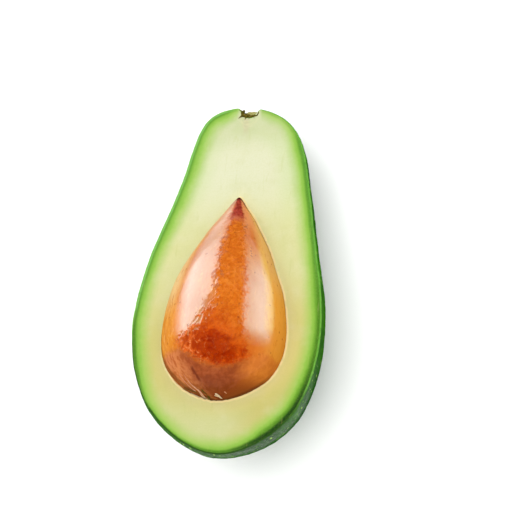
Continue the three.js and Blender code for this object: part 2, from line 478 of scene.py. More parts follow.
    # the strand below the stalk
    sx = n.math("ABSOLUTE", n.add(x, n.fma(n.noise(cut, 3.0, 2.0), 1.6, -0.6)))
    stain = n.mul(n.ramp(sx, 1.6, 0.2), n.ramp(y, 103.5, 109.5))
    col = n.mix(n.mul(stain, 0.26), col, c(216, 178, 158))
    # painted highlight: pale lit flecks on the frayed flesh below the stalk
    lit_fray_flecks = n.mul(n.ramp(stalk_off, 4.2, 2.4), n.ramp(y, 108.6, 111.0), n.ramp(n.noise(cut, 1.1, 3.0, 0.6), 0.42, 0.60))
    col = n.mix(n.mul(lit_fray_flecks, 0.40), col, c(240, 234, 182))
    # pale coat left on the edge of the hollow
    broken = n.ramp(n.noise(cut, 4.0, 2.0), 0.28, 0.44, 0.35, 1.0)
    torn_edge = n.fma(n.ramp(y, 24.5, 34.5, 0.0, 1.0, soft=False), 2.0, 0.30)
    strand2 = n.mul(n.ramp(n.math("ABSOLUTE", n.math("SUBTRACT", pit, torn_edge)), 0.36, 0.10), n.ramp(x, -5.0, -9.0),
                    n.ramp(y, 34.0, 28.0), n.ramp(n.noise(cut, 1.2, 3.0, 0.6), 0.34, 0.58, 0.15, 0.80))
    col = n.mix(strand2, col, tone(255, 238, 184, 0.64))
    col = n.mix(n.mul(n.ramp(pit, 2.3, 1.6), n.ramp(x, -4.0, -9.0), n.ramp(y, 30.0, 38.0, 0.0, 0.45)), col, c(246, 232, 164))
    col = n.mix(n.mul(n.ramp(pit, 0.78, 0.34), broken), col, tone(255, 230, 164, 0.66))
    inside = n.ramp(z, -0.4, -3.0)
    col = n.mix(inside, col, c(214, 180, 104))
    n.set(Base_Color=col)
    n.set(Subsurface_Weight=0.06, Subsurface_Scale=0.0008, Subsurface_Radius=(1.0, 0.9, 0.4))
    rough = n.fma(n.noise(cut, 2.4, 3.0), 0.26, 0.38)
    n.set(Roughness=rough, IOR=1.40, Specular_IOR_Level=0.07)
    knife = n.noise(n.place(cut, (0.12, 1.4, 1.0), (0, 0, 0.35)), 1.3, 3.0, 0.6)
    h = n.fma(knife, 0.6, n.mul(grain, 0.4))
    n.set(Normal=n.bump(h, 0.00012, 0.6))
    return n.mat


def skin_material():
    n = Nodes("skin")
    cut = n.attr("cut", True)
    edge = n.attr("edge")
    x, y, z = n.axes(cut)

    def c(r, g, b):
        return tone(r, g, b, SKIN_GAIN)

    patch = n.noise(cut, 19.0, 3.0, 0.55)
    small = n.noise(cut, 3.2, 3.0, 0.6)
    col = n.mix(n.ramp(patch, 0.32, 0.68), c(22, 74, 6), c(54, 118, 12))
    col = n.mix(n.mul(n.ramp(small, 0.48, 0.74), 0.5), col, c(16, 58, 6))
    # darker towards both ends
    ends = n.math("MAXIMUM", n.ramp(y, 20.0, 2.0), n.ramp(y, 98.0, 114.0))
    col = n.mix(n.mul(ends, 0.35), col, c(18, 62, 10))
    # lenticels: small pale yellow-green spots of mixed size
    wv = n.warp(cut, 1.1, 0.9)
    v1 = n.voronoi(wv, 2.0)
    size = n.axes(v1.outputs["Color"])[0]
    edge1 = n.fma(n.mul(size, size), 0.26, 0.05)
    spot = n.ramp(n.math("SUBTRACT", edge1, v1.outputs["Distance"]), -0.05, 0.06)
    v2 = n.voronoi(n.place(wv, shift=(9.0, 4.0, 2.0)), 1.15)
    edge2 = n.fma(n.axes(v2.outputs["Color"])[1], 0.30, -0.08)
    spot2 = n.mul(n.ramp(n.math("SUBTRACT", edge2, v2.outputs["Distance"]), -0.05, 0.06), 0.7)
    spots = n.math("MAXIMUM", spot, spot2)
    dens = n.ramp(n.noise(cut, 13.0, 2.0), 0.36, 0.58, 0.30, 1.0)
    spots = n.mul(spots, dens)
    col = n.mix(n.mul(spots, 0.85), col, n.mix(size, c(112, 170, 48), c(158, 200, 88)))
    # the cut rim of the skin: a painted highlight, lightest up the left side, and painted shade where it runs low
    high = n.add(n.add(y, n.ramp(x, -2.0, -14.0, 8.0, -8.0)), n.ramp(x, 4.0, 14.0, 0.0, 6.0))
    rim_highlight_and_shade = n.mix(n.ramp(high, 22.0, 38.0), c(44, 78, 18), n.mix(n.ramp(x, -6.0, 6.0), c(138, 198, 88), c(106, 168, 60)))
    bitten = n.ramp(n.noise(cut, 1.3, 3.0, 0.6), 0.34, 0.54, 0.60, 0.95)
    col = n.mix(n.mul(edge, bitten), col, rim_highlight_and_shade)
    n.set(Base_Color=col)
    n.set(Roughness=n.fma(small, 0.20, n.fma(spots, 0.10, 0.30)))
    n.set(IOR=1.42, Specular_IOR_Level=0.0, Coat_Roughness=0.20, Coat_IOR=1.45)
    # glossier towards the blunt end and further down the back than just below the rim
    shallow = n.ramp(y, 32.0, 11.0, 0.12, 1.0)
    low_gloss = n.fma(n.ramp(z, -9.0, -17.0), n.math("SUBTRACT", n.ramp(y, 44.0, 20.0, 0.36, 1.0), shallow), shallow)
    n.set(Coat_Weight=n.mul(n.mul(n.away(0.64, 0.92), n.fma(n.mul(n.ramp(x, -1.0, -14.0), n.ramp(z, -15.0, -8.0)), -0.72, 1.0)), low_gloss, n.ramp(n.noise(cut, 1.4, 3.0, 0.65), 0.34, 0.66, 0.64, 0.38)))
    n.set(Subsurface_Weight=0.05, Subsurface_Scale=0.0010, Subsurface_Radius=(0.5, 1.0, 0.2))
    micro = n.noise(cut, 0.7, 3.0, 0.6)
    h = n.fma(spots, 0.35, n.mul(micro, 0.7))
    pores = n.bump(h, 0.00014, 0.7)
    n.set(Normal=pores, Coat_Normal=pores)
    return n.mat


def seed_material():
    n = Nodes("seed_coat")
    cut = n.attr("cut", True)
    x, y, z = n.axes(cut)

    def c(r, g, b):
        return tone(r, g, b, SEED_GAIN)

    # along: 0 at the blunt end, 1 at the tip; turn: degrees round the seed, 90 on top
    along = n.math("DIVIDE", n.math("SUBTRACT", y, SEED_START), SEED_LENGTH, clamp=True)
    turn = n.mul(n.math("ARCTAN2", n.math("SUBTRACT", z, SEED_RAISE), x), 180.0 / math.pi)
    w1 = n.warp(cut, 7.0, 5.0)
    w2 = n.warp(cut, 1.8, 1.2)
    w3 = n.warp(cut, 3.0, 3.2, 3.0)
    jit = n.noise(w2, 1.1, 4.0, 0.68)
    jit2 = n.noise(n.place(w2, shift=(13.0, 5.0, 8.0)), 1.3, 4.0, 0.68)
    jt = n.add(turn, n.fma(jit, 26.0, -13.0))
    jy = n.add(y, n.fma(jit2, 3.2, -1.6))

    # the dull grainy zone: a band on top of the seed that widens towards the blunt end
    reach = n.math("POWER", n.ramp(jy, 43.1, 28.2, soft=False), 2.4)
    left = n.add(n.fma(reach, 50.0, 82.0), n.mul(n.fma(n.attr("wrinkle"), 16.0, -8.0), n.ramp(jy, 46.0, 38.0)),
                 n.mul(n.fma(n.noise(w3, 2.6, 3.0, 0.6), 26.0, -13.0), n.ramp(y, 36.0, 42.0)))
    left = n.fma(n.mul(n.ramp(jy, 35.4, 33.4), n.ramp(jy, 29.6, 31.2)), -8.0, left)
    right = n.fma(n.ramp(jy, 34.0, 24.0, soft=False), -12.0, 54.0)
    off = n.math("DIVIDE", n.math("SUBTRACT", jt, 74.0), 36.0)
    floor_y = n.fma(n.math("MINIMUM", n.mul(off, off), 1.65), 3.3, 21.6)
    in_left = n.ramp(n.math("SUBTRACT", left, jt), -4.0, 4.0)
    in_right = n.ramp(n.math("SUBTRACT", jt, right), -5.0, 5.0)
    in_low = n.ramp(n.math("SUBTRACT", jy, floor_y), -1.1, 1.1)
    dull = n.mul(in_left, in_right, in_low, n.mul(n.ramp(along, 0.90, 0.80), n.ramp(jt, 128.0, 108.0)))
    blunt = n.mul(n.ramp(n.math("SUBTRACT", jy, floor_y), 1.1, -1.1), n.ramp(y, 33.0, 26.0))

    # smooth coat: amber, deeper orange on top
    broad = n.noise(w1, 10.0, 4.0, 0.6)
    col = n.mix(n.ramp(broad, 0.32, 0.68), c(216, 106, 24), c(232, 132, 40))
    side = n.math("MAXIMUM", n.ramp(turn, 40.0, 16.0), n.ramp(turn, 110.0, 134.0))
    # higher up the left side the pale tan is a painted reflection
    amber_and_reflection_l = n.mix(n.ramp(y, 35.0, 50.0, 0.0, 0.85), c(238, 162, 50), c(243, 212, 150))
    pale_r = n.mix(n.ramp(y, 42.0, 60.0, 0.0, 0.65), c(252, 172, 62), c(248, 204, 128))
    amber_and_reflection_l = n.mix(n.ramp(turn, 146.0, 158.0), amber_and_reflection_l, c(234, 156, 60))
    amber = n.mix(n.ramp(turn, 60.0, 100.0), pale_r, amber_and_reflection_l)
    col = n.mix(n.mul(side, n.ramp(y, 28.0, 44.0, 0.55, 0.95)), col, amber)
    # the shoulders are paler and duller in colour, as if dusty
    st = n.add(turn, n.fma(jit, 8.0, -4.0))
    dusty = n.math("MAXIMUM", n.mul(n.ramp(st, 78.0, 94.0), n.ramp(st, 126.0, 106.0)),
                   n.mul(n.ramp(st, 60.0, 46.0), n.ramp(st, 18.0, 34.0), n.ramp(y, 67.0, 52.0, 0.1, 1.0)))
    dusty = n.mul(dusty, n.ramp(jy, 27.0, 33.0), n.ramp(along, 0.95, 0.70))
    col = n.mix(n.mul(dusty, 0.68), col, n.mix(n.ramp(turn, 60.0, 76.0), n.mix(n.ramp(y, 46.0, 58.0), c(188, 134, 72), c(216, 144, 62)), c(182, 124, 74)))
    # painted highlight: a yellow fringe along the right edge of the right sheen
    highlight_fringe_r = n.mul(n.ramp(st, 18.0, 24.0), n.ramp(st, 35.0, 27.0), n.ramp(y, 31.0, 36.0), n.ramp(y, 68.0, 56.0))
    col = n.mix(n.mul(highlight_fringe_r, 0.55), col, c(255, 208, 104))
    fibre = n.noise(n.place(w3, (1.0, 0.16, 1.0)), 0.9, 3.0, 0.6)
    col = n.mix(n.mul(n.ramp(fibre, 0.52, 0.72), 0.30), col, c(200, 92, 20))
    col = n.mix(n.mul(n.ramp(fibre, 0.46, 0.30), 0.22), col, c(248, 172, 78))

    # grainy zone
    grain = n.noise(w2, 1.0, 4.0, 0.66)
    band = n.mix(n.ramp(grain, 0.30, 0.70), c(234, 128, 36), c(212, 100, 18))
    band = n.mix(n.mul(n.ramp(fibre, 0.50, 0.72), 0.40), band, c(196, 82, 10))
    band = n.mix(n.mul(n.ramp(n.noise(w3, 3.8, 3.0, 0.6), 0.48, 0.70), 0.55), band, c(244, 146, 54))
    # deep red towards the blunt end, darkest above the edge of the zone
    later = n.ramp(turn, 82.0, 56.0, 0.0, 6.0, soft=False)
    red = n.ramp(n.add(jy, later, n.fma(n.noise(w3, 5.0, 3.0, 0.6), 7.0, -3.5)), 44.0, 29.0)
    core_t = n.math("DIVIDE", n.math("SUBTRACT", turn, 78.0), 18.0)
    core_y = n.math("DIVIDE", n.math("SUBTRACT", y, 26.0), 3.8)
    core = n.math("SQRT", n.add(n.mul(core_t, core_t), n.mul(core_y, core_y)))
    core = n.ramp(n.add(core, n.fma(jit, 1.3, -0.65)), 1.35, 0.30)
    blotch = n.noise(w3, 2.8, 4.0, 0.58)
    deep = n.mix(n.ramp(blotch, 0.36, 0.62), c(218, 88, 14), c(180, 54, 2))
    deep = n.mix(n.mul(core, 0.9), deep, n.mix(n.ramp(blotch, 0.36, 0.62), c(176, 52, 2), c(146, 30, 0)))
    deep = n.mix(n.ramp(turn, 88.0, 106.0, 0.0, 0.65), deep, n.mix(n.ramp(blotch, 0.36, 0.62), c(232, 112, 44), c(206, 84, 22)))
    band = n.mix(red, band, deep)
    # winding wrinkles, most on the left: painted highlight on their crests and painted shade in their troughs
    wrinkle = n.attr("wrinkle")
    lit_crest = n.ramp(wrinkle, 0.70, 0.96)
    shaded_trough = n.ramp(wrinkle, 0.34, 0.06)
    most = n.math("MAXIMUM", n.ramp(turn, 80.0, 100.0, 0.12, 1.0), n.ramp(y, 40.0, 50.0, 0.0, 0.75))
    band = n.mix(n.mul(shaded_trough, most, n.ramp(red, 0.0, 1.0, 0.42, 0.50)), band, n.mix(red, c(190, 84, 14), c(150, 38, 4)))
    band = n.mix(n.mul(lit_crest, most, n.ramp(red, 0.0, 1.0, 0.46, 0.80)), band, c(252, 150, 86))
    # dark specks, most on the zone's left edge
    peck = n.voronoi(w2, 1.15)
    pecked = n.mul(n.ramp(peck.outputs["Distance"], 0.34, 0.16), n.ramp(n.axes(peck.outputs["Color"])[1], 0.45, 0.65))
    fringe = n.math("MAXIMUM", n.ramp(n.math("SUBTRACT", left, jt), 13.0, 2.0, 0.22, 0.85),
                    n.ramp(n.math("SUBTRACT", jt, right), 9.0, 1.0, 0.0, 0.6))
    band = n.mix(n.mul(pecked, fringe), band, c(168, 62, 8))
    col = n.mix(dull, col, band)
    # broken dark line along the zone's left edge
    dash = n.mul(n.ramp(n.math("ABSOLUTE", n.math("SUBTRACT", left, jt)), 3.6, 1.2), n.ramp(n.noise(w2, 1.5, 3.0, 0.6), 0.44, 0.56),
                 n.ramp(y, 38.0, 46.0), n.ramp(y, 73.0, 67.0))
    col = n.mix(n.mul(dash, 0.55), col, c(156, 70, 18))
    # a few of the specks stray on to the smooth coat on the right
    stray = n.mul(pecked, n.ramp(jt, 30.0, 42.0), n.ramp(jt, 58.0, 52.0), n.ramp(y, 48.0, 58.0))
    col = n.mix(n.mul(stray, 0.85), col, c(132, 58, 16))

    # blunt end: brown, with streaks that run to its middle
    streak = n.noise(n.place(n.warp(cut, 3.0, 1.2), (1.0, 0.25, 1.0)), 1.3, 3.0, 0.6)
    brown = n.mix(n.ramp(streak, 0.36, 0.64), c(166, 78, 38), c(146, 62, 26))
    brown = n.mix(n.mul(n.ramp(jit, 0.50, 0.70), 0.20), brown, c(118, 42, 14))
    brown = n.mix(n.mul(n.ramp(blotch, 0.50, 0.34), 0.35), brown, c(196, 104, 60))
    brown = n.mix(n.ramp(turn, 58.0, 30.0), brown, n.mix(
        n.ramp(y, 18.4, 22.5), c(170, 80, 30), n.mix(n.ramp(streak, 0.36, 0.64), c(234, 134, 50), c(220, 120, 42))))
    brown = n.mix(n.mul(n.ramp(turn, 104.0, 134.0), 0.85), brown, n.mix(n.ramp(streak, 0.40, 0.62), c(232, 142, 84), c(196, 102, 52)))
    brown = n.mix(n.mul(n.ramp(y, 20.5, 17.2), 0.5), brown, c(112, 42, 16))
    col = n.mix(n.mul(blunt, 0.92), col, brown)
    # painted shade in the crease at the blunt end
    crease = n.mul(n.ramp(n.math("ABSOLUTE", n.math("SUBTRACT", n.add(turn, n.fma(jit2, 6.0, -3.0)), 111.0)), 3.0, 0.8),
                   n.ramp(y, 22.2, 21.4), n.ramp(y, 18.6, 19.4))
    col = n.mix(n.mul(crease, 0.7), col, c(112, 36, 12))
    # painted shade: brown where the coat turns under on the left, and along its seam with the flesh at the blunt end
    under = n.math("MAXIMUM", n.mul(n.ramp(turn, 148.0, 157.0), n.ramp(turn, 176.0, 164.0), n.ramp(y, 44.0, 36.0, 0.3, 0.8)),
                   n.mul(n.ramp(z, 2.2, 1.0), n.ramp(y, 26.0, 19.0)))
    col = n.mix(n.mul(under, 0.72), col, c(112, 60, 20))

    # streaks down the left side, and a brown line of painted shade where it turns under by the tip
    streaky = n.mul(n.ramp(turn, 116.0, 130.0), n.ramp(turn, 172.0, 156.0, 0.3, 1.0), n.ramp(y, 62.0, 50.0), n.ramp(y, 26.0, 32.0))
    col = n.mix(n.mul(streaky, n.ramp(fibre, 0.48, 0.70), 0.36), col, c(200, 120, 36))
    col = n.mix(n.mul(streaky, n.ramp(fibre, 0.48, 0.32), 0.34), col, c(250, 194, 104))
    # painted shade along the left edge by the tip
    tip_edge_shade = n.math("SUBTRACT", turn, n.ramp(y, 56.0, 74.0, 151.0, 133.0))
    col = n.mix(n.mul(n.ramp(tip_edge_shade, 0.0, 4.0), n.ramp(tip_edge_shade, 11.0, 5.0), n.ramp(y, 50.0, 60.0), 0.50), col, c(158, 100, 58))

    # scattered dark pits
    pits = n.voronoi(w2, 2.1)
    pick = n.ramp(n.axes(pits.outputs["Color"])[0], 0.55, 0.75)
    pit = n.mul(n.ramp(pits.outputs["Distance"], 0.20, 0.10), pick, n.ramp(along, 0.05, 0.25))
    col = n.mix(n.mul(pit, 0.55), col, c(150, 58, 16))

    # dark wine-red tip
    ragged_tip = n.add(along, n.fma(n.noise(n.place(cut, (1.0, 0.4, 1.0)), 1.6, 3.0), 0.10, -0.05))
    tip = n.mul(n.ramp(ragged_tip, 0.79, 0.88), n.math("MAXIMUM", n.ramp(along, 0.90, 0.97), n.mul(
        n.ramp(jt, 92.0, 80.0), n.ramp(jt, 40.0, 52.0))))
    col = n.mix(n.mul(tip, 0.9), col, n.mix(n.ramp(jit, 0.40, 0.62), c(184, 66, 56), c(140, 36, 36)))
    # painted highlight: the pale upper end of the left sheen, beside the tip
    pale = n.mul(n.ramp(along, 0.66, 0.88), n.ramp(jt, 88.0, 100.0))
    col = n.mix(n.mul(pale, 0.75), col, c(234, 182, 146))
    # painted highlight: the pinkish upper end of the right sheen, beside the tip
    tip_highlight_r = n.mul(n.ramp(along, 0.72, 0.86), n.ramp(jt, 54.0, 44.0), n.ramp(jt, 12.0, 26.0))
    col = n.mix(n.mul(tip_highlight_r, 0.65), col, c(244, 160, 100))
    point = n.ramp(along, 0.965, 0.99)
    col = n.mix(point, col, c(74, 26, 26))
    n.set(Base_Color=col)
    n.set(Subsurface_Weight=0.06, Subsurface_Scale=0.0010, Subsurface_Radius=(1.0, 0.45, 0.15))
    matt = n.math("MAXIMUM", dull, tip)
    n.set(Roughness=n.add(n.fma(matt, 0.22, 0.26), n.fma(grain, 0.16, -0.06), n.mul(blunt, 0.10)))
    n.set(IOR=1.5, Specular_IOR_Level=0.0, Coat_Roughness=0.17, Coat_IOR=1.65)
    # glossy on the shoulders, duller at the sides, on the grainy zone and at the blunt end
    sides = n.math("MAXIMUM", n.ramp(st, 106.0, 124.0), n.ramp(st, 35.0, 19.0))
    worn = n.math("MAXIMUM", matt, n.math("MAXIMUM", n.mul(sides, 0.96), n.mul(n.ramp(n.add(jy, n.ramp(turn, 70.0, 52.0, 0.7, -1.3)), 33.0, 27.6), 0.92)))
    taper_r = n.mul(n.ramp(y, 44.0, 62.0, 1.0, 0.28), n.ramp(st, 34.0, 52.0, 1.0, 0.66))
    taper_l = n.ramp(y, 44.0, 65.0, 1.0, 0.45)
    taper = n.add(taper_r, n.mul(n.math("SUBTRACT", taper_l, taper_r), n.ramp(turn, 58.0, 72.0)))
    n.set(Coat_Weight=n.mul(n.fma(worn, -0.96, 1.0), taper, n.fma(n.away(0.66, 0.90), 0.90, 0.10)))
    h = n.add(n.mul(grain, 0.6), n.mul(lit_crest, 0.5), n.mul(shaded_trough, -0.5))
    h = n.mul(h, n.fma(matt, 0.85, 0.08))
    h = n.add(h, n.mul(pit, -0.35), n.mul(streak, n.mul(blunt, 0.5)), n.mul(crease, -0.8), n.mul(fibre, 0.10))
    n.set(Normal=n.bump(h, 0.00030, 0.8))
    soft = n.add(n.mul(pit, -0.35), n.mul(n.noise(w1, 4.0, 2.0), 0.5), n.mul(fibre, 0.06), n.mul(crease, -0.6),
                 n.mul(grain, n.mul(dull, 0.5)))
    n.set(Coat_Normal=n.bump(soft, 0.00022, 0.6))
    return n.mat


def flake_material():
    n = Nodes("torn_seed_coat")
    cut = n.attr("cut", True)
    f = n.noise(cut, 0.8, 3.0, 0.6)
    hung = n.mix(n.ramp(f, 0.35, 0.65), tone(216, 138, 96, 0.66), tone(248, 186, 146, 0.66))
    flap = n.mix(n.ramp(f, 0.30, 0.60), tone(226, 180, 130, 0.64), tone(252, 222, 182, 0.64))
    n.set(Base_Color=n.mix(n.attr("whiter"), hung, flap), Roughness=n.fma(f, 0.3, 0.40), IOR=1.45, Specular_IOR_Level=0.12)
    n.set(Subsurface_Weight=0.10, Subsurface_Scale=0.0006, Subsurface_Radius=(1.0, 0.8, 0.5))
    n.set(Normal=n.bump(f, 0.00008, 0.6))
    return n.mat


def stalk_material():
    n = Nodes("dry_stalk")
    cut = n.attr("cut", True)
    f = n.noise(n.place(cut, (1.0, 0.45, 1.0)), 0.6, 4.0, 0.65)
    k = n.noise(cut, 1.3, 3.0, 0.6)
    col = n.mix(n.ramp(f, 0.34, 0.66), tone(68, 60, 3, 0.76), tone(100, 88, 18, 0.76))
    col = n.mix(n.mul(n.ramp(k, 0.50, 0.68), 0.7), col, tone(46, 38, 2, 0.76))
    col = n.mix(n.mul(n.ramp(k, 0.42, 0.30), 0.5), col, tone(156, 132, 70, 0.76))
    n.set(Base_Color=col, Roughness=n.fma(f, 0.25, 0.62), IOR=1.45, Specular_IOR_Level=0.04)
    n.set(Normal=n.bump(f, 0.0002, 0.9))
    return n.mat


def pith_material():
    n = Nodes("stalk_pith")
    cut = n.attr("cut", True)
    f = n.noise(cut, 0.7, 3.0, 0.6)
    n.set(Base_Color=n.mix(n.ramp(f, 0.35, 0.65), tone(140, 134, 66, 0.76), tone(184, 178, 112, 0.76)))
    n.set(Roughness=0.7, IOR=1.45, Specular_IOR_Level=0.1, Normal=n.bump(f, 0.0001, 0.7))
    return n.mat


def floor_material():
    n = Nodes("pale_floor")
    co = n.t.nodes.new("ShaderNodeTexCoord").outputs["Object"]
    f = n.noise(co, 0.35, 2.0)
    n.set(Base_Color=n.mix(f, (0.91, 0.91, 0.91, 1), (0.94, 0.94, 0.94, 1)), Roughness=0.7, Specular_IOR_Level=0.2)
    # beyond the reach of the ceiling light the floor is evenly lit too
    fx, fy, fz = n.axes(co)
    far = n.math("SQRT", n.add(n.mul(fx, fx), n.mul(fy, fy)))
    n.set(Emission_Color=(1, 1, 1, 1), Emission_Strength=n.ramp(far, 0.5, 1.7, 0.0, 0.78))
    return n.mat


FLESH = flesh_material()
SKIN = skin_material()
SEED = seed_material()
FLAKE = flake_material()
STALK = stalk_material()
PITH = pith_material()

# --------------------------------------------------------------------------
# The fruit: one closed body of skin, rounded cut edge, cut face and hollow.
# Stations run round the cut face: station 0 is the blossom end, then up the
# right side to the stalk end (station N) and down the left side.
# --------------------------------------------------------------------------
N = 280
K = 2 * N
S = np.linspace(0, np.pi, N + 1)
K_S = np.concatenate([S, S[1:-1][::-1]])
SIDE = np.concatenate([[0.0], np.ones(N - 1), [0.0], -np.ones(N - 1)])
SPINE_OF = np.concatenate([np.arange(N + 1), np.arange(1, N)[::-1]])


def skin_relief(p):
    """Pebbled skin: height along the surface normal, in mm."""
    p = np.asarray(p, float)
    q = p + 0.5 * np.stack([fbm(p / 3.0, 2, 5), fbm(p / 3.0, 2, 6), fbm(p / 3.0, 2, 7)], 1)
    f1, f2, own = cells(q / 2.2, 21)
    pebble = (0.04 + 0.05 * own) * np.clip(1 - (f1 / 0.72) ** 2, 0, 1)
    # at the lower left the skin swells a little past the cut, just below the rim
    du = p[:, 0] - drift(p[:, 1])
    swell = 0.6 * smooth(34.0, 14.0, p[:, 1]) * smooth(6.0, -6.0, du) * smooth(0.0, -2.5, p[:, 2]) * smooth(-16.0, -7.0, p[:, 2])
    return pebble + 0.04 * fbm(p / 1.1, 2, 31) + 0.45 * fbm(p / 30.0, 2, 41) + 0.10 * fbm(p / 8.0, 2, 51) - 0.06 + swell


def skin_normal(p):
    e = 0.02
    y = p[:, 1]
    dm = (drift(y + e) - drift(y - e)) / (2 * e)
    lo = np.clip(y - e, 0, FRUIT_LENGTH)
    hi = np.clip(y + e, 0, FRUIT_LENGTH)
    dr2 = (fruit_radius(hi) ** 2 - fruit_radius(lo) ** 2) / np.maximum(hi - lo, 1e-6)
    du = p[:, 0] - drift(y)
    g = np.stack([2 * du, -2 * du * dm - dr2, 2 * p[:, 2] / BACK_DEPTH_SHARE**2], 1)
    return g / np.maximum(np.linalg.norm(g, axis=1, keepdims=True), 1e-9)


def dimple(p, falloff=None):
    """The dent around the stalk, pushed in along the length."""
    p = p.copy()
    q = np.hypot(p[:, 0] - STALK_X, p[:, 2])
    uneven = 1 + 0.14 * gnoise(np.stack([p[:, 0] / 1.8, p[:, 2] / 1.8, p[:, 1] * 0], 1), 91)
    depth = DIMPLE_DEPTH * (1 - smooth(1.0, DIMPLE_RADIUS, q * uneven))
    if falloff is None:
        falloff = smooth(98.0, 108.0, p[:, 1])
    p[:, 1] -= depth * falloff
    return p


def hollow_outline():
    """The edge of the hollow on the cut face, station by station, and its outward normal."""
    y_in = SEED_START + SEED_LENGTH * (1 - np.cos(K_S)) / 2
    r_in = series(SEED_TERMS, K_S)
    r_in[0] = r_in[N] = 0.0
    r_in[1:N] += seed_trim(y_in[1:N], 1.0)
    r_in[N + 1:] += seed_trim(y_in[N + 1:], -1.0)
    hol = np.stack([SIDE * np.maximum(r_in, 0), y_in], 1)
    tan = np.roll(hol, -1, 0) - np.roll(hol, 1, 0)
    hn = np.stack([tan[:, 1], -tan[:, 0]], 1)
    hn /= np.linalg.norm(hn, axis=1, keepdims=True)
    hn[0] = (0, -1)
    hn[N] = (0, 1)
    # ragged most at the blunt end on the left, where the coat tore
    torn = 0.05 + 0.16 * smooth(30.0, 18.0, hol[:, 1]) * smooth(6.0, -6.0, hol[:, 0])
    rag = torn * fbm(np.concatenate([hol / 1.1, np.zeros((K, 1))], 1), 3, 61)
    return hol + hn * (SEED_GAP + np.clip(rag, -0.04, 0.25))[:, None]


